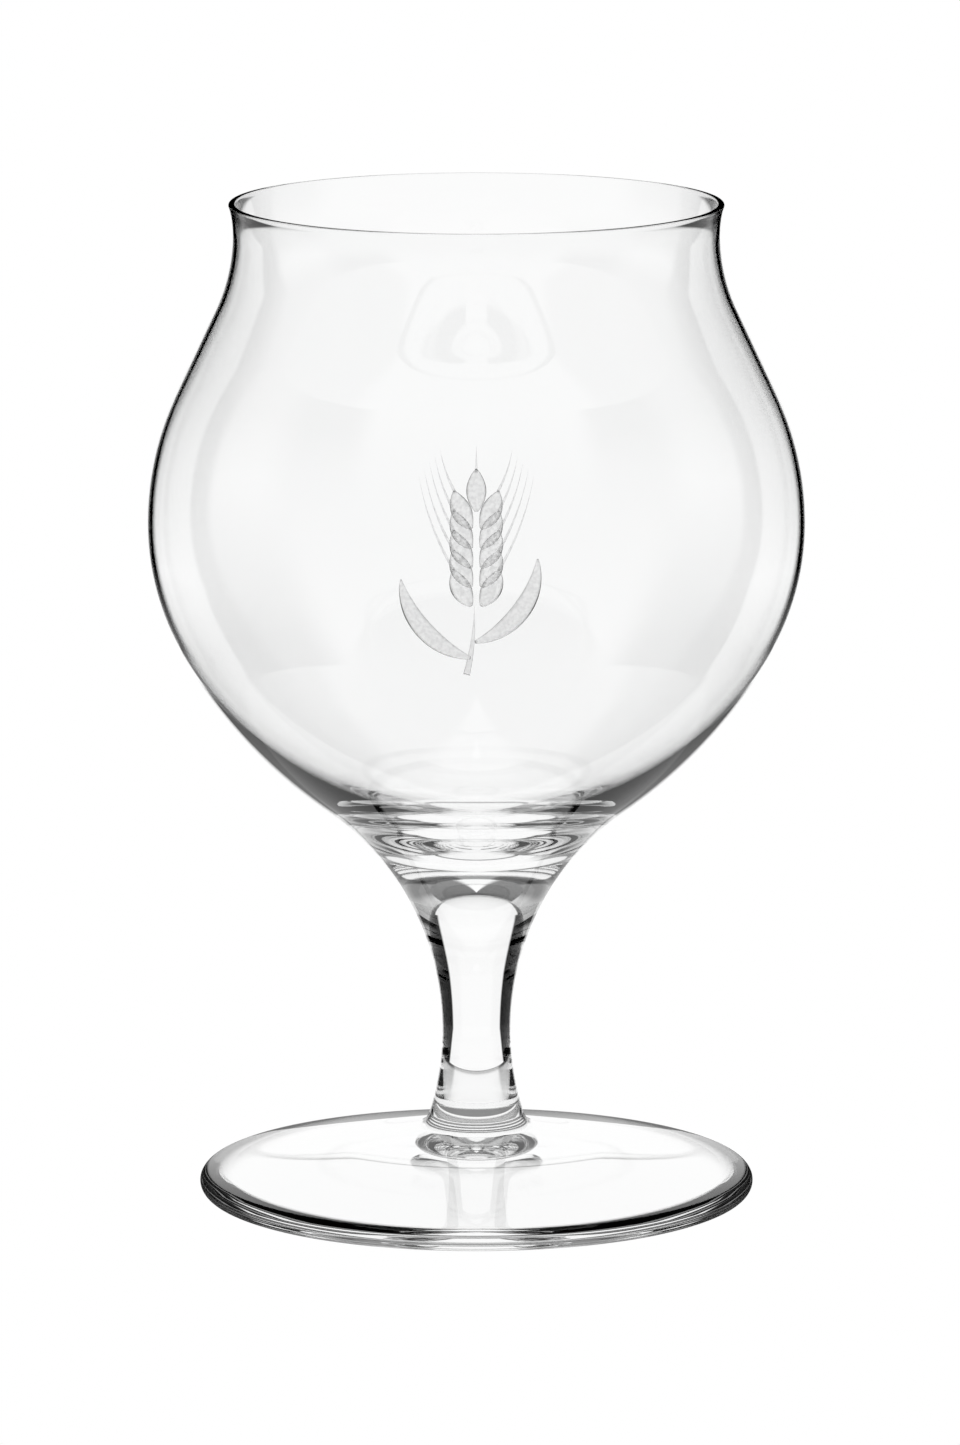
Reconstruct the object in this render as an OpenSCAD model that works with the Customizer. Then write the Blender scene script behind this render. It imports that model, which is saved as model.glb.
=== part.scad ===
// Tulip beer glass: a blown bowl, a drawn stem and a spun foot, fused face to face.
// All sizes are in millimetres. The table is z = 0 and the axis of the glass is z.

/* [Bowl] */
// Outside diameter of the bowl at its widest
belly_d = 104.7; // [98:0.1:108]
// Height of the widest place above the table
belly_z = 108.8; // [105:0.1:112]
// Radius of the wall's curve above the widest place
shoulder_curve = 48.6; // [40:0.1:52]
// Distance from the axis to the centre of the wall's curve just below the widest place
belly_in = 10.45; // [8:0.05:14]
// How far round the belly's curve goes before the lower curve takes over, in degrees
belly_turn = 29; // [24:0.5:34]
// Distance past the axis of the centre of the bowl's lower curve
lower_past = 20; // [15:0.5:25]
// Thickness of the blown wall
wall_t = 0.75; // [0.65:0.05:1.2]
// How far round the belly's curve the wall keeps that thickness, in degrees
cavity_turn = 26; // [24:0.5:29]
// Distance past the axis of the centre of the inside's curve below that, where the wall thickens
cavity_past = 6.5; // [3:0.1:9]
// Radius of the hollow's rounded bottom
cavity_floor = 35; // [15:1:40]
// Solid glass between the hollow's bottom and the fused face of the stem
base_t = 9.9; // [6:0.1:14]

/* [Lip] */
// Height of the glass, from the table to the top of the lip
glass_h = 160; // [157:0.5:166]
// Distance from the top of the lip down to the narrowest place of the neck
neck_drop = 4.9; // [3.5:0.1:7]
// Outside diameter of the neck at its narrowest
neck_d = 77.2; // [74:0.1:82]
// Radius of the hollow curve between the shoulder and the neck
neck_curve = 28.6; // [20:0.1:32]
// How far the lip stands out from the neck
flare_w = 0.65; // [0.6:0.01:1]
// Thickness of the cut and polished lip
lip_t = 1.15; // [0.95:0.05:1.2]
// Radius of the lip's two melted corners
lip_r = 0.3; // [0.15:0.05:0.4]

/* [Stem] */
// Diameter of the stem at its waist
waist_d = 10.9; // [8:0.1:14]
// Height of the waist above the table
waist_z = 26.3; // [24:0.1:30]
// Radius of the stem's curve below the waist, where it spreads towards the foot
spread_curve = 45.2; // [30:0.2:60]

/* [Foot] */
// Diameter of the foot
foot_d = 89; // [80:0.5:100]
// Thickness of the foot at its round edge
edge_t = 3.6; // [3:0.1:5]
// Slope of the top of the foot, in degrees
foot_slope = 12; // [9:0.5:13]
// Radius of the fillet between the foot and the stem
fillet_r = 3; // [2:0.1:5]
// Width of the flat ring that the glass rests on
rest_w = 2.5; // [1.5:0.1:4]
// Slope of the hollow under the foot, in degrees
dish_slope = 11; // [8:0.5:12]
// Diameter of the rounded middle of that hollow
dish_d = 42; // [30:1:56]

/* [Hidden] */
$fn = 256;
overlap = wall_t / 4;
glass_colour = [0.86, 0.9, 0.91, 0.45];

function polar(centre, radius, angle) = centre + radius * [cos(angle), sin(angle)];
function unit(v) = v / norm(v);

// Shoulder and neck: two arcs joined by a straight stretch that is tangent to both.
// The arcs only fit while their radii add up to less than shoulder_room.
neck_z = glass_h - neck_drop;
shoulder_in = (belly_d - neck_d) / 2;
shoulder_rise = neck_z - belly_z;
shoulder_room = (pow(shoulder_in, 2) + pow(shoulder_rise, 2)) / (2 * shoulder_in);
shoulder_fit = min(1, 0.97 * shoulder_room / (shoulder_curve + neck_curve));
shoulder_r = shoulder_curve * shoulder_fit;
neck_r = neck_curve * shoulder_fit;
shoulder_c = [belly_d / 2 - shoulder_r, belly_z];
neck_c = [neck_d / 2 + neck_r, neck_z];
shoulder_way = neck_c - shoulder_c;
shoulder_turn = atan2(shoulder_way[1], shoulder_way[0])
    - acos((shoulder_r + neck_r) / norm(shoulder_way));

// Lower bowl and stem: above its waist, the stem's curve runs tangent into the lower curve of the bowl.
belly_curve = belly_d / 2 - belly_in;
belly_c = [belly_in, belly_z];
lower_curve = belly_curve + (belly_in + lower_past) / cos(belly_turn);
lower_c = polar(belly_c, belly_curve - lower_curve, -belly_turn);
stem_in = waist_d / 2 - lower_c[0];
stem_drop = lower_c[1] - waist_z;
stem_r = (pow(stem_in, 2) + pow(stem_drop, 2) - pow(lower_curve, 2)) / (2 * (lower_curve - stem_in));
stem_c = [waist_d / 2 + stem_r, waist_z];
waist = [waist_d / 2, waist_z];

// Outside of the bowl, from its lower curve up to the lip.
corner_z = glass_h - lip_r;
flare_rise = corner_z - neck_z;
corner_out = [neck_d / 2 + flare_w - lip_r, corner_z];
flare_r = (pow(flare_w - lip_r, 2) + pow(flare_rise, 2) - pow(lip_r, 2)) / (2 * flare_w);
flare_c = [neck_d / 2 + flare_r, neck_z];
out_low = lower_c + lower_curve * unit(stem_c - lower_c);
out_turn = polar(belly_c, belly_curve, -belly_turn);
out_belly = [belly_d / 2, belly_z];
out_shoulder = polar(shoulder_c, shoulder_r, shoulder_turn);
out_neck_low = polar(neck_c, neck_r, 180 + shoulder_turn);
out_neck = [neck_d / 2, neck_z];
out_lip = flare_c + flare_r * unit(corner_out - flare_c);

// Inside of the bowl, from the lip down to the bottom of the hollow. The wall keeps its thickness
// for the first part of the belly's curve, and then thickens.
corner_in = [neck_d / 2 + flare_w - lip_t + lip_r, corner_z];
lip_in = flare_w - lip_t + wall_t;
flare_in_r = (pow(lip_in + lip_r, 2) + pow(flare_rise, 2) - pow(lip_r, 2)) / (2 * lip_in);
flare_in_c = [neck_d / 2 - wall_t + flare_in_r, neck_z];
in_lip = flare_in_c + flare_in_r * unit(corner_in - flare_in_c);
in_neck = [neck_d / 2 - wall_t, neck_z];
in_neck_low = polar(neck_c, neck_r + wall_t, 180 + shoulder_turn);
in_shoulder = polar(shoulder_c, shoulder_r - wall_t, shoulder_turn);
in_belly = [belly_d / 2 - wall_t, belly_z];
in_turn = polar(belly_c, belly_curve - wall_t, -cavity_turn);
cavity_curve = belly_curve - wall_t + (belly_in + cavity_past) / cos(cavity_turn);
cavity_c = polar(belly_c, belly_curve - wall_t - cavity_curve, -cavity_turn);
floor_c = [0, cavity_c[1] - sqrt(pow(cavity_curve - cavity_floor, 2) - pow(cavity_c[0], 2))];
in_floor = floor_c + cavity_floor * unit(floor_c - cavity_c);
in_bottom = floor_c - [0, cavity_floor];

// The fused face lies a little below the hollow, on the stem's curve.
joint_z = in_bottom[1] - base_t;
out_joint = [stem_c[0] - sqrt(pow(stem_r, 2) - pow(joint_z - waist_z, 2)), joint_z];

// Foot: a round edge, a conical top and a fillet that runs tangent into the stem's lower curve. The underside
// is hollow: a cone rises from the ring it rests on, and runs tangent into a low dome.
spread_c = [waist_d / 2 + spread_curve, waist_z];
edge_r = edge_t / 2;
edge_c = [foot_d / 2 - edge_r, edge_r];
slope_up = [sin(foot_slope), cos(foot_slope)];
slope_in = [-cos(foot_slope), sin(foot_slope)];
edge_top = edge_c + edge_r * slope_up;
fillet_from = edge_c + (edge_r + fillet_r) * slope_up - spread_c;
fillet_along = fillet_from * slope_in;
fillet_room = pow(fillet_along, 2) - fillet_from * fillet_from + pow(spread_curve - fillet_r, 2);
fillet_c = spread_c + fillet_from + (sqrt(fillet_room) - fillet_along) * slope_in;
fillet_low = fillet_c - fillet_r * slope_up;
fillet_high = spread_c + spread_curve * unit(fillet_c - spread_c);
rest_r = foot_d / 2 - edge_r - rest_w;
dish_rim = [rest_r, 0];
dish_mid = [dish_d / 2, (rest_r - dish_d / 2) * tan(dish_slope)];
dish_r = dish_mid[0] / sin(dish_slope);
dish_c = [0, dish_mid[1] - dish_r * cos(dish_slope)];
dish_top = dish_c + [0, dish_r];

// The sliver between the straight line from p to q and the arc about centre that joins them. It reaches past
// the line by an overlap, so that it joins what it is added to, and cuts clean through what it is taken from.
module arc_cap(p, q, centre) {
    radius = norm(p - centre);
    out = unit((p + q) / 2 - centre);
    inset = (q - p) / 10;
    intersection() {
        translate(centre) circle(r = radius);
        polygon([
            p, p + inset - overlap * out, q - inset - overlap * out, q, q + radius * out, p + radius * out
        ]);
    }
}

module bowl() {
    color(glass_colour)
    rotate_extrude() {
        difference() {
            union() {
                polygon([
                    [0, joint_z], out_joint, out_low, out_turn, out_belly, out_shoulder, out_neck_low, out_neck,
                    out_lip, [corner_out[0], glass_h], [corner_in[0], glass_h], in_lip, in_neck, in_neck_low,
                    in_shoulder, in_belly, in_turn, in_floor, in_bottom
                ]);
                arc_cap(out_low, out_turn, lower_c);
                arc_cap(out_turn, out_belly, belly_c);
                arc_cap(out_belly, out_shoulder, shoulder_c);
                arc_cap(in_lip, in_neck, flare_in_c);
                arc_cap(in_neck, in_neck_low, neck_c);
            }
            arc_cap(out_joint, out_low, stem_c);
            arc_cap(out_neck_low, out_neck, neck_c);
            arc_cap(out_neck, out_lip, flare_c);
            arc_cap(in_shoulder, in_belly, shoulder_c);
            arc_cap(in_belly, in_turn, belly_c);
            arc_cap(in_turn, in_floor, cavity_c);
            arc_cap(in_floor, in_bottom, floor_c);
        }
        translate(corner_out) circle(r = lip_r);
        translate(corner_in) circle(r = lip_r);
    }
}

module stem() {
    color(glass_colour)
    rotate_extrude()
    difference() {
        polygon([[0, fillet_high[1]], fillet_high, waist, out_joint, [0, joint_z]]);
        arc_cap(fillet_high, waist, spread_c);
        arc_cap(waist, out_joint, stem_c);
    }
}

module foot() {
    color(glass_colour)
    rotate_extrude()
    difference() {
        union() {
            polygon([
                [0, 0], [edge_c[0], 0], edge_top, fillet_low, fillet_high, [0, fillet_high[1]]
            ]);
            translate(edge_c) circle(d = edge_t);
        }
        arc_cap(fillet_low, fillet_high, fillet_c);
        polygon([[0, 0], dish_rim, dish_mid, dish_top]);
        arc_cap(dish_mid, dish_top, dish_c);
    }
}

bowl();
stem();
foot();
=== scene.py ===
# %% [markdown]
# A tulip beer glass
#
# The real glass is three gathers of clear glass, each worked hot and fused to the next: a blown bowl, a
# drawn stem and a spun foot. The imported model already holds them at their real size. This lesson makes
# each piece again as a smooth mesh, gives it the finish that its making leaves, frosts an ear of barley
# on the bowl, and lights it all in small white tents with black cards, which is how clear glass is
# photographed.

# %% Load the frame
import math

import bmesh
import bpy
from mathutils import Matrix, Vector


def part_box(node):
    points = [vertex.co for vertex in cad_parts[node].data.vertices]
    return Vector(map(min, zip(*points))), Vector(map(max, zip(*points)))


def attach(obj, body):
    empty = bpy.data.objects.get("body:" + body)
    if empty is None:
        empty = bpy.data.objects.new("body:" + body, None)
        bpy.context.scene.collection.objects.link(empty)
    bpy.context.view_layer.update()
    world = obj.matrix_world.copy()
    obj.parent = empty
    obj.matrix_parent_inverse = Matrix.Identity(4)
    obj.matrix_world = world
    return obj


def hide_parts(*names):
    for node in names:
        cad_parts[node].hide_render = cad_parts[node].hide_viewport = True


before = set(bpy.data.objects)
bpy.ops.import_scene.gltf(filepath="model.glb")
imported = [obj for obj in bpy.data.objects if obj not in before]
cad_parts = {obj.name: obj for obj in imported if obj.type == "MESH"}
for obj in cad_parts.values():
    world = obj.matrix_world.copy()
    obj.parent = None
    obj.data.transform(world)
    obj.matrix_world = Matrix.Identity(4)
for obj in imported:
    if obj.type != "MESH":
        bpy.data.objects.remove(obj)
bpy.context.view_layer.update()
scene = bpy.context.scene
for node in sorted(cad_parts):
    low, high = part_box(node)
    print(f"{node}: {low.z * 1000:.2f} to {high.z * 1000:.2f} mm high, {high.x * 2000:.2f} mm wide")

# %% [markdown]
# The camera
#
# The photograph looks a little down on the glass through a long lens, so the foot and the rim show as
# flat ovals. The glass stands close to the middle of the picture. It is sharp from front to back, so
# depth of field stays off.

# %% Camera at the photograph's angle
LOOK_DOWN = 10.3639
LENS, SENSOR_W = 234.75, 36
CAMERA_AT = (0.00057, -1.48092, 0.34724)


def make_camera():
    data = bpy.data.cameras.new("camera")
    data.sensor_width = SENSOR_W
    data.lens = LENS
    camera = bpy.data.objects.new("camera", data)
    camera.location = CAMERA_AT
    camera.rotation_euler = (math.radians(90 - LOOK_DOWN), 0, 0)
    scene.collection.objects.link(camera)
    scene.camera = camera
    return camera


camera = make_camera()
print(f"camera {camera.location.length:.2f} m away, looking {LOOK_DOWN:.1f} degrees down")

# %% [markdown]
# Sizes of the section
#
# A glass that is blown and turned is the same all round, so one half of its section says everything.
# These are the maker's sizes, and every point below follows from them. A point is a distance from the
# axis and a height. Each round stretch is an arc, and neighbouring arcs share a tangent, as they do in
# hot glass.

# %% Driving sizes, in millimetres and degrees
MM = 0.001
GLASS_H = 160.0
BELLY_D, BELLY_Z, BELLY_IN, BELLY_TURN, LOWER_PAST = 104.7, 108.8, 10.45, 29.0, 20.0
SHOULDER_R = 48.6
NECK_D, NECK_DROP, NECK_R = 77.2, 4.9, 28.6
FLARE_W, LIP_T, LIP_R = 0.65, 1.15, 0.3
WALL_T = 0.75
CAVITY_TURN, CAVITY_PAST, CAVITY_FLOOR, BASE_T = 26.0, 6.5, 35.0, 9.9
WAIST_D, WAIST_Z, SPREAD_R = 10.9, 26.3, 45.2
FOOT_D, EDGE_T, FOOT_SLOPE, FILLET_R = 89.0, 3.6, 12.0, 3.0
REST_W, DISH_SLOPE, DISH_D = 2.5, 11.0, 42.0
print(f"{GLASS_H:.0f} mm high, {BELLY_D:.1f} mm across the belly, {FOOT_D:.0f} mm across the foot")


def polar(centre, radius, angle):
    """The point at that angle on the circle, in degrees up from the horizontal."""
    turn = math.radians(angle)
    return centre + radius * Vector((math.cos(turn), math.sin(turn)))


def heading(way):
    return math.degrees(math.atan2(way.y, way.x))


# %% [markdown]
# The bowl's outside runs from the stem up the lower curve, round the belly, over the shoulder and along a
# short straight stretch into the hollow neck, and flares to the lip. The inside follows it one wall away,
# until the wall begins to thicken below the belly. There the inside has a rounder curve of its own, down
# to a dished bottom.

# %% Points of the bowl
belly_r = BELLY_D / 2 - BELLY_IN
belly_c = Vector((BELLY_IN, BELLY_Z))
lower_r = belly_r + (BELLY_IN + LOWER_PAST) / math.cos(math.radians(BELLY_TURN))
lower_c = polar(belly_c, belly_r - lower_r, -BELLY_TURN)
neck_z = GLASS_H - NECK_DROP
shoulder_c = Vector((BELLY_D / 2 - SHOULDER_R, BELLY_Z))
neck_c = Vector((NECK_D / 2 + NECK_R, neck_z))
shoulder_way = neck_c - shoulder_c
shoulder_turn = heading(shoulder_way) - math.degrees(math.acos((SHOULDER_R + NECK_R) / shoulder_way.length))
flare_rise = GLASS_H - LIP_R - neck_z
corner_out = Vector((NECK_D / 2 + FLARE_W - LIP_R, GLASS_H - LIP_R))
flare_r = ((FLARE_W - LIP_R) ** 2 + flare_rise ** 2 - LIP_R ** 2) / (2 * FLARE_W)
flare_c = Vector((NECK_D / 2 + flare_r, neck_z))
lip_in = FLARE_W - LIP_T + WALL_T
corner_in = Vector((NECK_D / 2 - WALL_T + lip_in + LIP_R, GLASS_H - LIP_R))
flare_in_r = ((lip_in + LIP_R) ** 2 + flare_rise ** 2 - LIP_R ** 2) / (2 * lip_in)
flare_in_c = Vector((NECK_D / 2 - WALL_T + flare_in_r, neck_z))
cavity_r = belly_r - WALL_T + (BELLY_IN + CAVITY_PAST) / math.cos(math.radians(CAVITY_TURN))
cavity_c = polar(belly_c, belly_r - WALL_T - cavity_r, -CAVITY_TURN)
floor_c = cavity_c + Vector((-cavity_c.x, -math.sqrt((cavity_r - CAVITY_FLOOR) ** 2 - cavity_c.x ** 2)))
hollow_bottom = floor_c - Vector((0, CAVITY_FLOOR))
joint_z = hollow_bottom.y - BASE_T
print(f"hollow ends {hollow_bottom.y:.2f} mm above the table, fused face at {joint_z:.2f} mm")

# %% [markdown]
# Above its waist the stem is one long curve that runs into the lower curve of the bowl. Below the waist
# it spreads again and meets the sloping top of the foot in a small fillet. The foot is a plate of even
# thickness: its underside is a hollow cone, with a low dome in the middle where the maker's rod was.

# %% Points of the stem and the foot
stem_in = WAIST_D / 2 - lower_c.x
stem_drop = lower_c.y - WAIST_Z
stem_r = (stem_in ** 2 + stem_drop ** 2 - lower_r ** 2) / (2 * (lower_r - stem_in))
stem_c = Vector((WAIST_D / 2 + stem_r, WAIST_Z))
waist = Vector((WAIST_D / 2, WAIST_Z))
joint = Vector((stem_c.x - math.sqrt(stem_r ** 2 - (joint_z - WAIST_Z) ** 2), joint_z))
spread_c = Vector((WAIST_D / 2 + SPREAD_R, WAIST_Z))
edge_r = EDGE_T / 2
edge_c = Vector((FOOT_D / 2 - edge_r, edge_r))
slope_up = polar(Vector((0, 0)), 1, 90 - FOOT_SLOPE)
slope_in = polar(Vector((0, 0)), 1, 180 - FOOT_SLOPE)
fillet_from = edge_c + (edge_r + FILLET_R) * slope_up - spread_c
fillet_along = fillet_from.dot(slope_in)
fillet_room = fillet_along ** 2 - fillet_from.length_squared + (SPREAD_R - FILLET_R) ** 2
fillet_c = spread_c + fillet_from + (math.sqrt(fillet_room) - fillet_along) * slope_in
fillet_low = fillet_c - FILLET_R * slope_up
fillet_high = spread_c + SPREAD_R * (fillet_c - spread_c).normalized()
rest_r = FOOT_D / 2 - edge_r - REST_W
dish_mid = Vector((DISH_D / 2, (rest_r - DISH_D / 2) * math.tan(math.radians(DISH_SLOPE))))
dish_r = dish_mid.x / math.sin(math.radians(DISH_SLOPE))
dish_c = Vector((0, dish_mid.y - dish_r * math.cos(math.radians(DISH_SLOPE))))
print(f"stem curve {stem_r:.1f} mm, foot meets the stem at {fillet_high.y:.2f} mm")

# %% [markdown]
# A pen that draws with operators
#
# A section could be typed in as a list of points. Here a pen draws it instead: a straight stroke extrudes
# the pen's vertex and moves it, and a round stroke spins it about the arc's centre. The arcs come out
# evenly cut, and a spin of the whole drawing about the axis then makes the solid of revolution.

# %% The pen
STROKE = 1.0
FEWEST_CUTS = 6
print(f"a round stroke is cut about every {STROKE} mm, and finer where glass bends light strongly")


def in_space(point):
    return Vector((point.x * MM, 0, point.y * MM))


def put_down(bm, at):
    return bm.verts.new(in_space(at))


def straight(bm, pen, to, cuts):
    start = pen.co.copy()
    end = in_space(to)
    for cut in range(1, cuts + 1):
        drawn = bmesh.ops.extrude_vert_indiv(bm, verts=[pen])
        pen = drawn["verts"][0]
        pen.co = start.lerp(end, cut / cuts)
    return pen


def round_to(bm, pen, centre, to, stroke=STROKE):
    start = Vector((pen.co.x, pen.co.z)) / MM
    sweep = math.radians((heading(to - centre) - heading(start - centre) + 180) % 360 - 180)
    cuts = max(FEWEST_CUTS, math.ceil(abs(sweep) * (to - centre).length / stroke))
    drawn = bmesh.ops.spin(bm, geom=[pen], cent=in_space(centre), axis=(0, -1, 0), angle=sweep, steps=cuts)
    pen = next(item for item in drawn["geom_last"] if isinstance(item, bmesh.types.BMVert))
    pen.co = in_space(to)
    return pen


# %% [markdown]
# Where two pieces are fused there is no surface left in the glass, so light must pass the joint as if
# nothing were there. Each piece is still a closed solid: a cap fills its open end, with a finish of its
# own that does nothing to light. Sharp edges round the cap keep it from bending the shading of the wall
# beside it.

# %% From a drawing to a finished piece
ROUND_CUTS = 256
SAME_PLACE = MM / 500
FUSED_SIDE = 1
print(f"a spin has {ROUND_CUTS} cuts, and its poles are merged within {SAME_PLACE / MM} mm")


def placed(name, bm, finishes):
    mesh = bpy.data.meshes.new(name)
    bm.to_mesh(mesh)
    bm.free()
    for finish in finishes:
        mesh.materials.append(finish)
    thing = bpy.data.objects.new(name, mesh)
    scene.collection.objects.link(thing)
    return thing


def finished(name, bm, finishes):
    piece = placed(name, bm, finishes)
    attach(piece, "root")
    low = Vector(piece.bound_box[0]) / MM
    high = Vector(piece.bound_box[6]) / MM
    size = f"{low.z:.2f} to {high.z:.2f} mm high, {high.x - low.x:.2f} mm wide"
    print(f"{name}: {len(piece.data.polygons)} faces, {size}")
    return piece


def spun_piece(name, bm, finishes):
    bmesh.ops.spin(bm, geom=bm.verts[:] + bm.edges[:], cent=(0, 0, 0), axis=(0, 0, 1), angle=math.tau,
                   steps=ROUND_CUTS, use_merge=True)
    bmesh.ops.remove_doubles(bm, verts=bm.verts, dist=SAME_PLACE)
    for face in bm.faces:
        face.smooth = True
    open_edges = [edge for edge in bm.edges if edge.is_boundary]
    for edge in open_edges:
        edge.smooth = False
    capped = bmesh.ops.holes_fill(bm, edges=open_edges, sides=0)
    for face in capped["faces"]:
        face.material_index = FUSED_SIDE
        face.smooth = False
    bmesh.ops.recalc_face_normals(bm, faces=bm.faces)
    return finished(name, bm, finishes)


# %% [markdown]
# Finishes of worked glass
#
# Clear glass has no colour of its own to speak of. What tells it from a perfect shape is how it was
# worked: a blown wall has a soft, slow unevenness, a drawn stem has faint streaks along its length, and a
# spun foot has faint rings. All three are one effect, noise that is stretched along one direction, so it
# is a node group with the stretch and the scale as inputs. It also gives the trace of haze and of colour
# that a fire-polished surface keeps.

# %% Group: the traces that working leaves in glass
WHITE = (1.0, 1.0, 1.0, 1.0)
TRACE_OF_GREEN = (0.992, 0.996, 0.995, 1.0)


def socket(tree, name, kind, side, value=None):
    made = tree.interface.new_socket(name=name, in_out=side, socket_type=kind)
    if value is not None:
        made.default_value = value


def make_worked_glass():
    tree = bpy.data.node_groups.new("worked_glass", "ShaderNodeTree")
    socket(tree, "Stretch", "NodeSocketVector", "INPUT", (1.0, 1.0, 1.0))
    socket(tree, "Scale", "NodeSocketFloat", "INPUT", 60.0)
    socket(tree, "Haze", "NodeSocketFloat", "INPUT", 0.004)
    socket(tree, "Tint", "NodeSocketColor", "OUTPUT")
    socket(tree, "Roughness", "NodeSocketFloat", "OUTPUT")
    socket(tree, "Height", "NodeSocketFloat", "OUTPUT")
    nodes, links = tree.nodes, tree.links
    given = nodes.new("NodeGroupInput")
    put_out = nodes.new("NodeGroupOutput")
    place = nodes.new("ShaderNodeTexCoord")
    stretch = nodes.new("ShaderNodeVectorMath")
    stretch.operation = "MULTIPLY"
    links.new(place.outputs["Object"], stretch.inputs[0])
    links.new(given.outputs["Stretch"], stretch.inputs[1])
    wave = nodes.new("ShaderNodeTexNoise")
    wave.inputs["Detail"].default_value = 1.0
    links.new(stretch.outputs["Vector"], wave.inputs["Vector"])
    links.new(given.outputs["Scale"], wave.inputs["Scale"])
    links.new(wave.outputs["Fac"], put_out.inputs["Height"])
    haze = nodes.new("ShaderNodeMath")
    haze.operation = "MULTIPLY"
    links.new(wave.outputs["Fac"], haze.inputs[0])
    links.new(given.outputs["Haze"], haze.inputs[1])
    links.new(haze.outputs["Value"], put_out.inputs["Roughness"])
    tint = nodes.new("ShaderNodeMix")
    tint.data_type = "RGBA"
    tint.inputs["A"].default_value = TRACE_OF_GREEN
    tint.inputs["B"].default_value = WHITE
    links.new(wave.outputs["Fac"], tint.inputs["Factor"])
    links.new(tint.outputs["Result"], put_out.inputs["Tint"])
    return tree


worked_glass = make_worked_glass()
print(f"group {worked_glass.name} with {len(worked_glass.nodes)} nodes")

# %% [markdown]
# The glass itself is a Principled shader that lets all light through and bends it as soda-lime glass
# does, at an index of 1.5. The group only feeds what changes over the surface. The depth of the waves
# stays far below what a finger would feel, because refraction shows even a thousandth of a millimetre.

# %% Materials: blown, drawn and spun glass
GLASS_IOR = 1.5


def new_finish(name):
    finish = bpy.data.materials.new(name)
    finish.use_nodes = True
    return finish, finish.node_tree.nodes, finish.node_tree.links


def clear_shader(nodes):
    shader = nodes["Principled BSDF"]
    shader.inputs["IOR"].default_value = GLASS_IOR
    shader.inputs["Transmission Weight"].default_value = 1.0
    return shader


def worked_finish(name, stretch, scale, depth):
    finish, nodes, links = new_finish(name)
    shader = clear_shader(nodes)
    traces = nodes.new("ShaderNodeGroup")
    traces.node_tree = worked_glass
    traces.inputs["Stretch"].default_value = stretch
    traces.inputs["Scale"].default_value = scale
    links.new(traces.outputs["Tint"], shader.inputs["Base Color"])
    links.new(traces.outputs["Roughness"], shader.inputs["Roughness"])
    bump = nodes.new("ShaderNodeBump")
    bump.inputs["Distance"].default_value = depth * MM
    links.new(traces.outputs["Height"], bump.inputs["Height"])
    links.new(bump.outputs["Normal"], shader.inputs["Normal"])
    print(f"{name}: waves {depth} mm deep")
    return finish


blown_glass = worked_finish("blown_glass", stretch=(1.0, 1.0, 0.6), scale=45.0, depth=0.004)
drawn_glass = worked_finish("drawn_glass", stretch=(1.0, 1.0, 0.12), scale=160.0, depth=0.002)
spun_glass = worked_finish("spun_glass", stretch=(0.6, 0.6, 1.0), scale=60.0, depth=0.002)

# %% [markdown]
# Two more finishes belong to it. A fused face is no surface at all, so it is simply transparent. Frosted
# glass is the same glass with a rough skin full of pits, which scatters light and looks pale grey. The
# stencil's edge is blasted a little deeper, so it gets a darker level.

# %% Materials: fused face and frosted glass
FROST_ROUGHNESS = 0.32
PIT_LOW, PIT_HIGH, PIT_SHADE = 0.35, 0.65, 0.1


def fused_finish():
    finish, nodes, links = new_finish("fused_face")
    nodes.remove(nodes["Principled BSDF"])
    clear = nodes.new("ShaderNodeBsdfTransparent")
    links.new(clear.outputs["BSDF"], nodes["Material Output"].inputs["Surface"])
    return finish


def frosted_finish(name, grain, level):
    finish, nodes, links = new_finish(name)
    shader = clear_shader(nodes)
    shader.inputs["Roughness"].default_value = FROST_ROUGHNESS
    place = nodes.new("ShaderNodeTexCoord")
    pits = nodes.new("ShaderNodeTexNoise")
    pits.inputs["Scale"].default_value = 1 / (grain * MM)
    links.new(place.outputs["Object"], pits.inputs["Vector"])
    shade = nodes.new("ShaderNodeMapRange")
    shade.inputs["From Min"].default_value = PIT_LOW
    shade.inputs["From Max"].default_value = PIT_HIGH
    shade.inputs["To Min"].default_value = level - PIT_SHADE
    shade.inputs["To Max"].default_value = level + PIT_SHADE
    links.new(pits.outputs["Fac"], shade.inputs["Value"])
    links.new(shade.outputs["Result"], shader.inputs["Base Color"])
    print(f"{name}: pits {grain} mm apart")
    return finish


fused_face = fused_finish()
frosted_skin = frosted_finish("frosted_skin", grain=0.5, level=0.92)
frosted_edge = frosted_finish("frosted_edge", grain=0.5, level=0.8)

# %% [markdown]
# The bowl
#
# A gather is blown into a bubble, turned to its tulip shape and cracked off. The cut is ground flat and
# fire-polished, which melts its two corners round and leaves a lip a little thicker than the wall. The
# pen starts at the fused face, goes up the outside, over the lip and down the inside to the axis.

# %% Bowl
def draw_outside(bm):
    pen = put_down(bm, joint)
    pen = round_to(bm, pen, stem_c, lower_c + lower_r * (stem_c - lower_c).normalized(), STROKE / 2)
    pen = round_to(bm, pen, lower_c, polar(belly_c, belly_r, -BELLY_TURN))
    pen = round_to(bm, pen, belly_c, Vector((BELLY_D / 2, BELLY_Z)))
    pen = round_to(bm, pen, shoulder_c, polar(shoulder_c, SHOULDER_R, shoulder_turn))
    pen = straight(bm, pen, polar(neck_c, NECK_R, 180 + shoulder_turn), cuts=8)
    pen = round_to(bm, pen, neck_c, Vector((NECK_D / 2, neck_z)))
    pen = round_to(bm, pen, flare_c, flare_c + flare_r * (corner_out - flare_c).normalized(), STROKE / 2)
    return round_to(bm, pen, corner_out, polar(corner_out, LIP_R, 90), STROKE / 15)


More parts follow.
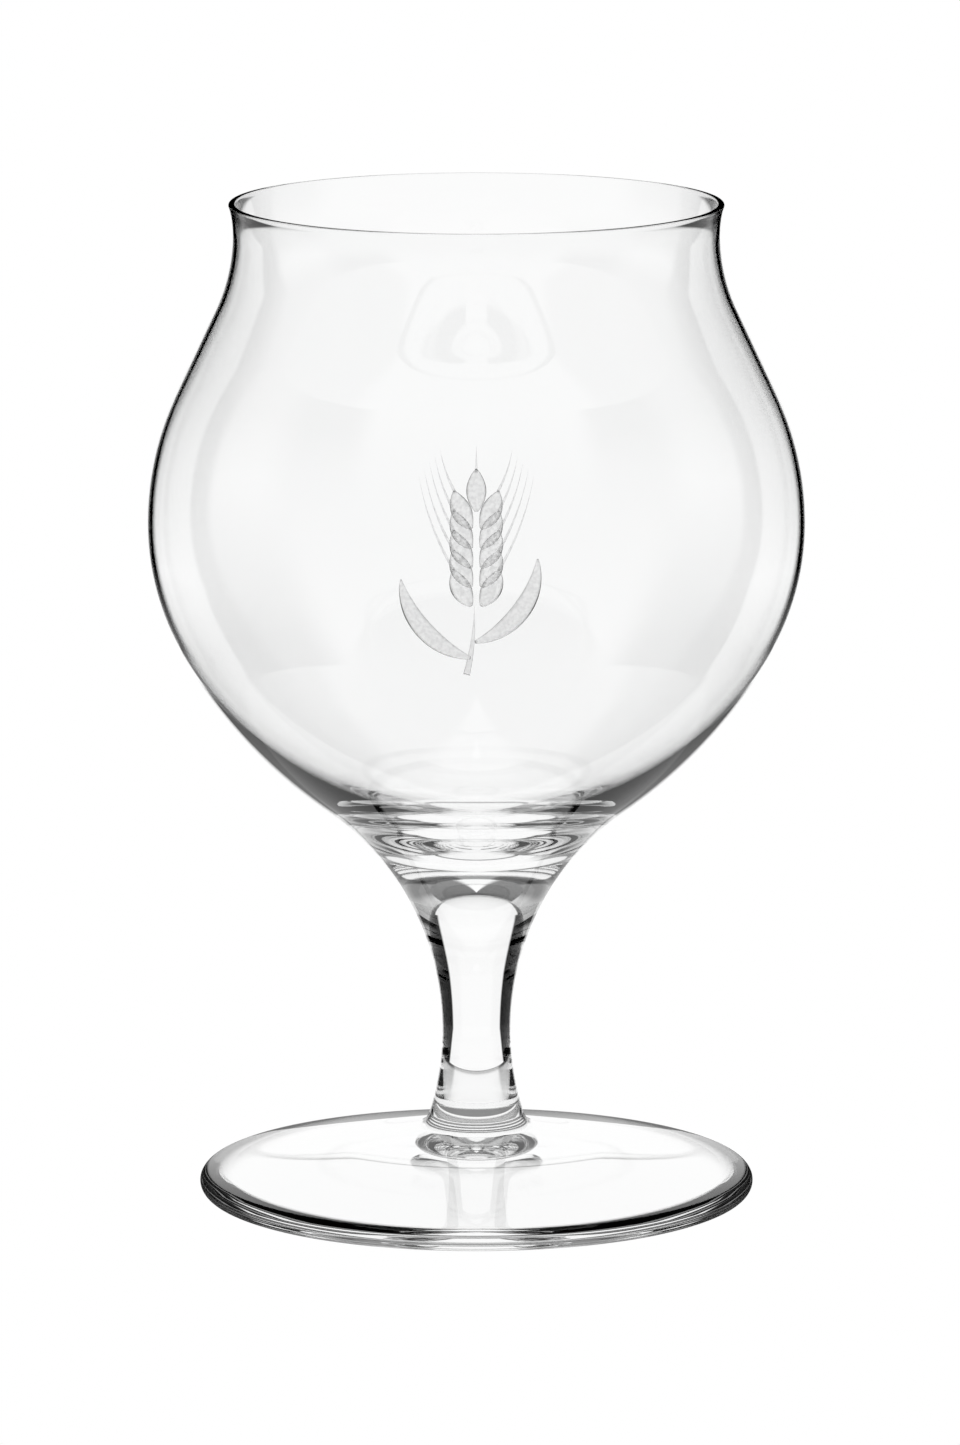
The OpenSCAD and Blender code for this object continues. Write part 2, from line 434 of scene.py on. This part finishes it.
def draw_inside(bm, pen):
    pen = straight(bm, pen, polar(corner_in, LIP_R, 90), cuts=2)
    in_lip = flare_in_c + flare_in_r * (corner_in - flare_in_c).normalized()
    pen = round_to(bm, pen, corner_in, in_lip, STROKE / 15)
    pen = round_to(bm, pen, flare_in_c, Vector((NECK_D / 2 - WALL_T, neck_z)), STROKE / 2)
    pen = round_to(bm, pen, neck_c, polar(neck_c, NECK_R + WALL_T, 180 + shoulder_turn))
    pen = straight(bm, pen, polar(shoulder_c, SHOULDER_R - WALL_T, shoulder_turn), cuts=8)
    pen = round_to(bm, pen, shoulder_c, Vector((BELLY_D / 2 - WALL_T, BELLY_Z)))
    pen = round_to(bm, pen, belly_c, polar(belly_c, belly_r - WALL_T, -CAVITY_TURN))
    pen = round_to(bm, pen, cavity_c, floor_c + CAVITY_FLOOR * (floor_c - cavity_c).normalized())
    round_to(bm, pen, floor_c, hollow_bottom)


bowl_mesh = bmesh.new()
draw_inside(bowl_mesh, draw_outside(bowl_mesh))
bowl = spun_piece("blown_bowl", bowl_mesh, [blown_glass, fused_face])
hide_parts("bowl")

# %% [markdown]
# The stem
#
# A second gather is pressed to the bowl's base and drawn down with tongs, which leaves a waist. It is
# short here: a thumb's width of glass that carries the bowl. The strokes are finer than on the bowl,
# because a stem is a strong lens and shows every flat.

# %% Stem
stem_mesh = bmesh.new()
pen = put_down(stem_mesh, fillet_high)
pen = round_to(stem_mesh, pen, spread_c, waist, STROKE / 3)
round_to(stem_mesh, pen, stem_c, joint, STROKE / 3)
stem = spun_piece("drawn_stem", stem_mesh, [drawn_glass, fused_face])
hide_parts("stem")

# %% [markdown]
# The foot
#
# The last gather is spun out flat and tipped into a shallow cone, with a round edge that won't chip. It
# rests on a narrow ring, so that it stands still on a table that isn't quite flat.

# %% Foot
foot_mesh = bmesh.new()
pen = put_down(foot_mesh, dish_c + Vector((0, dish_r)))
pen = round_to(foot_mesh, pen, dish_c, dish_mid)
pen = straight(foot_mesh, pen, Vector((rest_r, 0)), cuts=12)
pen = straight(foot_mesh, pen, Vector((edge_c.x, 0)), cuts=3)
pen = round_to(foot_mesh, pen, edge_c, edge_c + Vector((edge_r, 0)), STROKE / 5)
pen = round_to(foot_mesh, pen, edge_c, edge_c + edge_r * slope_up, STROKE / 5)
pen = straight(foot_mesh, pen, fillet_low, cuts=24)
round_to(foot_mesh, pen, fillet_c, fillet_high, STROKE / 8)
foot = spun_piece("spun_foot", foot_mesh, [spun_glass, fused_face])
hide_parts("foot")

# %% [markdown]
# The frosted ear of barley
#
# A mark is sand-blasted on the front of the bowl through a stencil, which leaves a thin rough skin that
# scatters light. This one is an ear of barley, about as large as the palm's hollow: two rows of grains,
# each with its long awn, a stalk and two leaves. Every one of them is a blade: a strip along a line, with
# its own width at each place. A blade is laid flat on the stencil first and then wrapped round the bowl,
# a hair's breadth proud of the glass.

# %% Blades on the stencil, wrapped round the bowl
EAR_Z = 110.7
SKIN_GAP, SKIN_T = 0.02, 0.03
SKIN_SIDE, EDGE_SIDE = 0, 1
BLADE_COLUMNS, FEWEST_ROWS, ROWS_PER_MM = 8, 8, 2
BLUNT_ROOT, BLUNT_SPAN, FULLNESS = 0.03, 0.96, 0.8


def bowl_radius(height):
    """The outside radius of the bowl near its belly."""
    if height > BELLY_Z:
        return shoulder_c.x + math.sqrt(SHOULDER_R ** 2 - (height - BELLY_Z) ** 2)
    return BELLY_IN + math.sqrt(belly_r ** 2 - (height - BELLY_Z) ** 2)


def wrapped(across, up):
    height = EAR_Z + up
    reach = bowl_radius(height) + SKIN_GAP
    turn = across / (BELLY_D / 2)
    return Vector((reach * math.sin(turn), -reach * math.cos(turn), height)) * MM


def blade(bm, root, lean, length, width, bend=0.0, root_width=0.0):
    """A strip from its root, leaning from upright and bending by that much more on its way."""
    rows = max(FEWEST_ROWS, math.ceil(length * ROWS_PER_MM))
    made = bmesh.ops.create_grid(bm, x_segments=BLADE_COLUMNS, y_segments=rows, size=1.0)["verts"]
    line = [Vector(root)]
    for row in range(rows):
        way = math.radians(lean + bend * row / rows)
        line.append(line[-1] + length / rows * Vector((math.sin(way), math.cos(way))))
    for vert in made:
        row = round((vert.co.y + 1) / 2 * rows)
        share = row / rows
        way = math.radians(lean + bend * row / rows)
        belly = math.sin(math.pi * min(1, share * BLUNT_SPAN + BLUNT_ROOT)) ** FULLNESS
        swell = max(root_width * (1 - share), width * belly)
        at = line[row] + vert.co.x * swell / 2 * Vector((math.cos(way), -math.sin(way)))
        vert.co = (at.x, at.y, 0)
    for face in {face for vert in made for face in vert.link_faces}:
        on_edge = any(edge.is_boundary for edge in face.edges)
        face.material_index = EDGE_SIDE if on_edge else SKIN_SIDE


print(f"the bowl is {2 * bowl_radius(EAR_Z):.1f} mm wide behind the ear's middle")

# %% [markdown]
# The grains lean outwards from the stalk, like tiles on a ridge, and the awns carry on from their tips.
# The whole drawing is one mesh. It is given the thickness of the skin at the end, so that it is a closed
# piece.

# %% Ear of barley
GRAIN_ROWS, GRAIN_STEP, LOWEST_GRAIN = 5, 3.0, -6.6
GRAIN_L, GRAIN_W, GRAIN_LEAN, GRAIN_OUT = 6.4, 3.2, 34.0, 0.75
AWN_L, AWN_SHORTER, AWN_W = 15.5, 2.2, 0.42
AWN_FROM, AWN_ASIDE, AWN_LEAN = 0.97, 0.75, 0.9
LEAF_L, LEAF_W = 17.5, 3.0
STALK_L, STALK_W = 11.6, 1.1
SAME_SPOT = 0.004


def grain_with_awn(bm, side, up, awn):
    lean = side * GRAIN_LEAN
    root = Vector((side * GRAIN_OUT, up))
    blade(bm, root, lean, GRAIN_L, GRAIN_W, bend=-lean / 2)
    tip = polar(root, GRAIN_L * AWN_FROM, 90 - lean * AWN_ASIDE)
    blade(bm, tip, lean * AWN_LEAN, awn, width=0.0, bend=-lean / 2, root_width=AWN_W)


def draw_ear(bm):
    for row in range(GRAIN_ROWS):
        up = LOWEST_GRAIN + GRAIN_STEP * row
        for side in (-1, 1):
            grain_with_awn(bm, side, up, AWN_L - AWN_SHORTER * row)
    blade(bm, root=(0.0, 8.0), lean=0.0, length=GRAIN_L, width=GRAIN_W)
    blade(bm, root=(0.0, 13.8), lean=0.0, length=4.0, width=0.0, root_width=AWN_W)
    blade(bm, root=(-1.6, -17.8), lean=14.0, length=STALK_L, width=0.0, bend=-16.0, root_width=STALK_W)
    blade(bm, root=(-0.9, -15.0), lean=-75.0, length=LEAF_L, width=LEAF_W, bend=70.0)
    blade(bm, root=(-0.2, -12.4), lean=73.0, length=LEAF_L, width=LEAF_W, bend=-75.0)


def wrap_ear(bm):
    bmesh.ops.remove_doubles(bm, verts=bm.verts, dist=SAME_SPOT)
    for vert in bm.verts:
        vert.co = wrapped(vert.co.x, vert.co.y)
    bmesh.ops.recalc_face_normals(bm, faces=bm.faces)
    for face in bm.faces:
        face.smooth = True
        if face.normal.y > 0:
            face.normal_flip()
    bmesh.ops.solidify(bm, geom=bm.faces[:], thickness=-SKIN_T * MM)


ear_mesh = bmesh.new()
draw_ear(ear_mesh)
wrap_ear(ear_mesh)
ear = finished("frosted_ear", ear_mesh, [frosted_skin, frosted_edge])

# %% [markdown]
# The light tents
#
# Clear glass has no shading of its own: it only shows what is round it. A photographer puts it in a small
# white tent, so that most of what it shows is white, and hangs a black card on each side behind it, just
# out of the picture. The thick and slanting places of the glass then bend the cards into dark lines that
# draw its outline. When another side is wanted, the glass is turned and the set stays, so the tents hang
# on a turntable that keeps their back away from the camera.

# %% Turntable
def make_turntable():
    turntable = bpy.data.objects.new("turntable", None)
    scene.collection.objects.link(turntable)
    follow = turntable.constraints.new("LOCKED_TRACK")
    follow.target = camera
    follow.track_axis = "TRACK_NEGATIVE_Y"
    follow.lock_axis = "LOCK_Z"
    return turntable


turntable = make_turntable()
print(f"{turntable.name} at {tuple(turntable.location)}, its front to the {camera.name}")

# %% [markdown]
# A tent is three simple shapes: a wall, a roof and the table inside. Each shines by itself. It could
# carry separate cards, but a card's edge has to fall softly out of focus, so the cards are soft steps in
# the brightness of the cloth. One such step is a node group that every cloth uses.

# %% Group: one soft edge of a card
def make_card_edge():
    tree = bpy.data.node_groups.new("card_edge", "ShaderNodeTree")
    socket(tree, "Place", "NodeSocketFloat", "INPUT")
    socket(tree, "Edge", "NodeSocketFloat", "INPUT")
    socket(tree, "Softness", "NodeSocketFloat", "INPUT", 2.0)
    socket(tree, "Beyond", "NodeSocketFloat", "OUTPUT")
    nodes, links = tree.nodes, tree.links
    given = nodes.new("NodeGroupInput")
    put_out = nodes.new("NodeGroupOutput")
    before = nodes.new("ShaderNodeMath")
    before.operation = "SUBTRACT"
    after = nodes.new("ShaderNodeMath")
    step = nodes.new("ShaderNodeMapRange")
    step.interpolation_type = "SMOOTHSTEP"
    for side in (before, after):
        links.new(given.outputs["Edge"], side.inputs[0])
        links.new(given.outputs["Softness"], side.inputs[1])
    links.new(given.outputs["Place"], step.inputs["Value"])
    links.new(before.outputs["Value"], step.inputs["From Min"])
    links.new(after.outputs["Value"], step.inputs["From Max"])
    links.new(step.outputs["Result"], put_out.inputs["Beyond"])
    return tree


card_edge = make_card_edge()
print(f"group {card_edge.name} with {len(card_edge.nodes)} nodes")

# %% [markdown]
# Where a cloth shines is told by three measures of a point on it: its bearing, in degrees from straight
# behind the glass, its reach from the axis and its height over the table, both in millimetres. Wiring
# nodes for each cloth by hand would be long, so a small class does it, and a tent can be put down as a
# list of cards: where each begins, how soft its edge is, and how bright it is.

# %% Tent cloth
class Cloth:
    """A shining cloth whose brightness is worked out from where a point of the tent lies."""

    def __init__(self, name):
        self.finish, self.nodes, self.links = new_finish(name)
        self.finish.cycles.emission_sampling = "NONE"
        self.nodes.remove(self.nodes["Principled BSDF"])
        place = self.nodes.new("ShaderNodeTexCoord")
        parts = self.nodes.new("ShaderNodeSeparateXYZ")
        self.links.new(place.outputs["Object"], parts.inputs["Vector"])
        across = self.math("ABSOLUTE", parts.outputs["X"])
        behind = parts.outputs["Y"]
        across_squared = self.math("MULTIPLY", across, across)
        behind_squared = self.math("MULTIPLY", behind, behind)
        away = self.math("SQRT", self.math("ADD", across_squared, behind_squared))
        self.bearing = self.math("DEGREES", self.math("ARCTAN2", across, behind))
        self.reach = self.math("MULTIPLY", away, 1 / MM)
        self.height = self.math("MULTIPLY", parts.outputs["Z"], 1 / MM)

    def feed(self, slot, value):
        """Links what another node puts out, or sets a plain number."""
        if isinstance(value, bpy.types.NodeSocket):
            self.links.new(value, slot)
        else:
            slot.default_value = value

    def math(self, operation, first, second=0.0):
        node = self.nodes.new("ShaderNodeMath")
        node.operation = operation
        self.feed(node.inputs[0], first)
        self.feed(node.inputs[1], second)
        return node.outputs["Value"]

    def beyond(self, place, edge, softness):
        node = self.nodes.new("ShaderNodeGroup")
        node.node_tree = card_edge
        self.feed(node.inputs["Place"], place)
        self.feed(node.inputs["Edge"], edge)
        self.feed(node.inputs["Softness"], softness)
        return node.outputs["Beyond"]

    def mix(self, mask, before, after):
        node = self.nodes.new("ShaderNodeMix")
        self.feed(node.inputs["Factor"], mask)
        self.feed(node.inputs["A"], before)
        self.feed(node.inputs["B"], after)
        return node.outputs["Result"]

    def along(self, place, steps):
        """A value that runs straight from one (place, value) to the next."""
        value = steps[0][1]
        for (here, low), (there, high) in zip(steps, steps[1:]):
            part = self.nodes.new("ShaderNodeMapRange")
            part.inputs["From Min"].default_value = here
            part.inputs["From Max"].default_value = there
            part.inputs["To Max"].default_value = high - low
            self.links.new(place, part.inputs["Value"])
            value = self.math("ADD", part.outputs["Result"], value)
        return value

    def bands(self, place, first, cards):
        """A value that steps softly at the edge of each card: (edge, softness, value)."""
        value = first
        for edge, softness, following in cards:
            value = self.mix(self.beyond(place, edge, softness), value, following)
        return value

    def shine(self, strength):
        """Shines with that strength, and lets light from the next tent pass."""
        glow = self.nodes.new("ShaderNodeEmission")
        self.links.new(strength, glow.inputs["Strength"])
        clear = self.nodes.new("ShaderNodeBsdfTransparent")
        both = self.nodes.new("ShaderNodeAddShader")
        self.links.new(glow.outputs["Emission"], both.inputs[0])
        self.links.new(clear.outputs["BSDF"], both.inputs[1])
        self.links.new(both.outputs["Shader"], self.nodes["Material Output"].inputs["Surface"])
        return self.finish


# %% [markdown]
# One set of cards can't suit a wide bowl, a thin stem and a flat foot. A studio takes one exposure for
# each, moves the cards in between and joins the pictures. Here each piece has its own tent, one inside
# the other, and light linking lets a tent light its own piece only. The camera doesn't see the tents, as
# a real one stays outside the picture.

# %% Hanging a tent
TENT_R, TENT_H = 0.13, 0.27
TENT_GAP, TABLE_GAP = 0.001, 0.0001
TENT_CUTS = 96
BACK_WHITE = 1.0


def disc(height, radius):
    bm = bmesh.new()
    bmesh.ops.create_circle(bm, cap_ends=True, segments=TENT_CUTS, radius=radius)
    bmesh.ops.translate(bm, verts=bm.verts, vec=(0, 0, height))
    return bm


def tube(radius, bottom, top):
    bm = bmesh.new()
    bmesh.ops.create_cone(bm, cap_ends=False, segments=TENT_CUTS, radius1=radius, radius2=radius,
                          depth=top - bottom)
    bmesh.ops.translate(bm, verts=bm.verts, vec=(0, 0, (top + bottom) / 2))
    return bm


def hang(name, bm, cloth, lit):
    sheet = placed(name, bm, [cloth])
    sheet.parent = turntable
    sheet.visible_camera = False
    sheet.light_linking.receiver_collection = lit


def hang_tent(name, layer, pieces, wall, roof, table):
    lit = bpy.data.collections.new(f"lit_by_{name}")
    for piece in pieces:
        lit.objects.link(piece)
    radius = TENT_R + layer * TENT_GAP
    floor, top = -(layer + 1) * TABLE_GAP, TENT_H + layer * TENT_GAP
    hang(f"{name}_wall", tube(radius, floor, top), wall, lit)
    hang(f"{name}_roof", disc(top, radius), roof, lit)
    hang(f"{name}_table", disc(floor, radius), table, lit)
    print(f"{name}: {radius * 2000:.0f} mm wide, {top * 1000:.0f} mm high, for {len(pieces)} pieces")


# %% [markdown]
# The bowl's tent is white straight behind the glass, and grey above the lip. A black card hangs on each
# side, 33 to 48 degrees round, and draws the dark outline. It is paler near the table, where the thick
# lower wall would gather too much of it. Next to it stands a tall strip light, which brightens that wall
# from the side, then a flag that is black near the table. The front is pale below and grey above.

# %% Tent of the bowl
CARD_IN, CARD_OUT, FLAG_IN, FLAG_OUT = 33.5, 48.0, 88.0, 128.0
SIDE_GREY = 0.62


def bowl_wall():
    cloth = Cloth("bowl_wall")
    back = cloth.along(cloth.height, [(159, BACK_WHITE), (170, 0.3)])
    opening = cloth.along(cloth.height, [
        (0, 16), (25, 26), (50, 31.5), (95, CARD_IN), (120, CARD_IN), (138, 27), (155, 22), (175, 12)])
    card = cloth.along(cloth.height, [(0, 0.45), (30, 0.25), (60, 0.1), (80, 0.0)])
    strip = cloth.along(cloth.height, [(30, 0.45), (78, 0.9), (110, SIDE_GREY), (165, 0.22)])
    flag = cloth.along(cloth.height, [(35, 0.03), (75, 0.4), (130, SIDE_GREY)])
    front = cloth.along(cloth.height, [(0, 0.9), (120, SIDE_GREY)])
    cards = [(opening, 1.5, card), (CARD_OUT, 3.5, strip), (FLAG_IN, 12, flag), (FLAG_OUT, 8, front)]
    return cloth.shine(cloth.bands(cloth.bearing, back, cards))


def bowl_roof():
    cloth = Cloth("bowl_roof")
    return cloth.shine(cloth.bands(cloth.bearing, BACK_WHITE, [(18, 6, 0.15), (100, 15, 0.05)]))


def bowl_table():
    cloth = Cloth("bowl_table")
    cards = [(22, 9, 0.6), (44, 8, 0.55), (FLAG_IN, 5, 0.5), (120, 6, 0.9)]
    return cloth.shine(cloth.bands(cloth.bearing, BACK_WHITE, cards))


hang_tent("bowl_tent", 0, [bowl, ear], bowl_wall(), bowl_roof(), bowl_table())

# %% [markdown]
# The stem is a strong lens: it gathers the whole back of the tent into its narrow width. Its cards are
# black boards that leave only an opening straight behind it, a little wider towards the table.

# %% Tent of the stem
def stem_wall():
    cloth = Cloth("stem_wall")
    opening = cloth.along(cloth.height, [(0, 31), (45, 28.5)])
    return cloth.shine(cloth.bands(cloth.bearing, BACK_WHITE, [(opening, 1.5, 0.0), (120, 10, 0.5)]))


def stem_roof():
    cloth = Cloth("stem_roof")
    return cloth.shine(cloth.bands(cloth.bearing, BACK_WHITE, [(32, 8, 0.1)]))


def stem_table():
    cloth = Cloth("stem_table")
    opening = cloth.along(cloth.reach, [(22, 36), (48, 36), (130, 31)])
    board = cloth.bands(cloth.bearing, BACK_WHITE, [(opening, 1.5, 0.0), (130, 8, 0.75)])
    return cloth.shine(cloth.bands(cloth.reach, 0.65, [(17, 3, board)]))


hang_tent("stem_tent", 1, [stem], stem_wall(), stem_roof(), stem_table())

# %% [markdown]
# The foot lies on white paper and looks at a white back. Dark boards at its sides draw its round ends,
# and a dark grey board behind the paper draws the thin line of its far edge.

# %% Tent of the foot
PAPER_WHITE, PAPER_R = 0.96, 40


def foot_wall():
    cloth = Cloth("foot_wall")
    opening = cloth.along(cloth.height, [(0, 27), (45, 30)])
    return cloth.shine(cloth.bands(cloth.bearing, BACK_WHITE, [(opening, 3, 0.02), (150, 12, SIDE_GREY)]))


def foot_roof():
    cloth = Cloth("foot_roof")
    return cloth.shine(cloth.bands(cloth.bearing, BACK_WHITE, [(60, 20, SIDE_GREY)]))


def foot_table():
    cloth = Cloth("foot_table")
    board = cloth.bands(cloth.bearing, 0.25, [(30, 5, 0.02), (150, 12, SIDE_GREY)])
    return cloth.shine(cloth.bands(cloth.reach, PAPER_WHITE, [(PAPER_R, 1.5, board)]))


hang_tent("foot_tent", 2, [foot], foot_wall(), foot_roof(), foot_table())

# %% [markdown]
# What the camera sees past the glass is plain white: a wide pale floor that runs out into a white room.
# Both are hidden from the glass, which sees its tents alone. Light is followed for a limited number of
# bounces. The longest ways through the foot's edge and the thick base then stay dark, much as real glass
# takes up a little light on a long way.

# %% Floor, room and view settings
FLOOR_R, FLOOR_DROP = 3.0, 5 * TABLE_GAP
BOUNCES, CLEAR_STEPS = 11, 32


def only_for_camera(thing, prefix):
    for ray in ("diffuse", "glossy", "transmission"):
        setattr(thing, prefix + ray, False)


def pale_floor():
    cloth, nodes, links = new_finish("pale_floor")
    nodes.remove(nodes["Principled BSDF"])
    glow = nodes.new("ShaderNodeEmission")
    links.new(glow.outputs["Emission"], nodes["Material Output"].inputs["Surface"])
    floor = placed("floor", disc(-FLOOR_DROP, FLOOR_R), [cloth])
    only_for_camera(floor, "visible_")


def white_room():
    room = bpy.data.worlds.new("white_room")
    room.use_nodes = True
    room.node_tree.nodes["Background"].inputs["Color"].default_value = WHITE
    scene.world = room
    only_for_camera(room.cycles_visibility, "")


pale_floor()
white_room()
scene.view_settings.view_transform = "Standard"
scene.cycles.max_bounces = BOUNCES
scene.cycles.transmission_bounces = BOUNCES
scene.cycles.glossy_bounces = BOUNCES
scene.cycles.transparent_max_bounces = CLEAR_STEPS
print(f"floor {FLOOR_R * 2:.0f} m wide, light followed for {BOUNCES} bounces")
